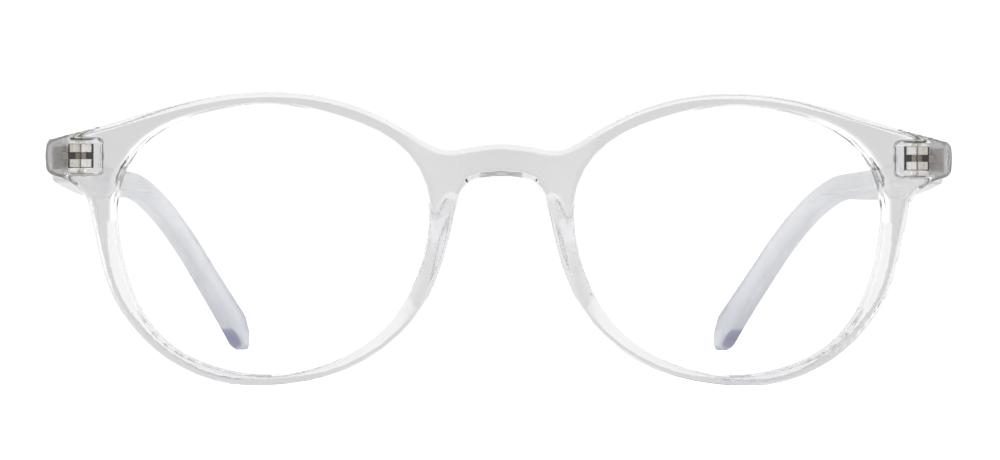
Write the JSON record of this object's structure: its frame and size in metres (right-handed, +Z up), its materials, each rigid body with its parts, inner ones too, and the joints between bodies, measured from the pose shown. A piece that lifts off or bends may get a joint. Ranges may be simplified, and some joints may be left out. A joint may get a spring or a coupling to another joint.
{
  "type": "eyeglasses",
  "caption": "Round clear full-rim eyeglasses with moulded nose pads, clear lenses and folding temples on three-barrel hinges.",
  "frame": {"origin": "middle of the footprint on the surface that the rims and the temple tips stand on", "axes": "+X to the wearer's left, +Y from the front towards the ears, +Z up"},
  "size_m": [0.1386, 0.1398, 0.0442],
  "materials": {
    "clear_plastic": "polished clear",
    "temple_plastic": "polished clear with a faint violet tint",
    "lens": "polished clear",
    "nickel": "satin nickel",
    "screw_steel": "satin"
  },
  "bodies": {
    "front": {"front_frame": "clear_plastic", "lens_left": "lens", "lens_right": "lens", "hinge_front_leaf_left": "nickel", "hinge_front_leaf_right": "nickel", "hinge_screw_left": "screw_steel", "hinge_screw_right": "screw_steel"},
    "temple_left": {"temple_left": "temple_plastic", "hinge_temple_leaf_left": "nickel"},
    "temple_right": {"temple_right": "temple_plastic", "hinge_temple_leaf_right": "nickel"}
  },
  "joints": [
    {"name": "temple_left_fold", "type": "hinge", "parent": "front", "child": "temple_left", "pos_m": [0.06395, -0.0557, 0.035], "axis": [0, 0, 1], "range_deg": [0, 85]},
    {"name": "temple_right_fold", "type": "hinge", "parent": "front", "child": "temple_right", "pos_m": [-0.06395, -0.0557, 0.035], "axis": [0, 0, -1], "range_deg": [0, 76]}
  ]
}
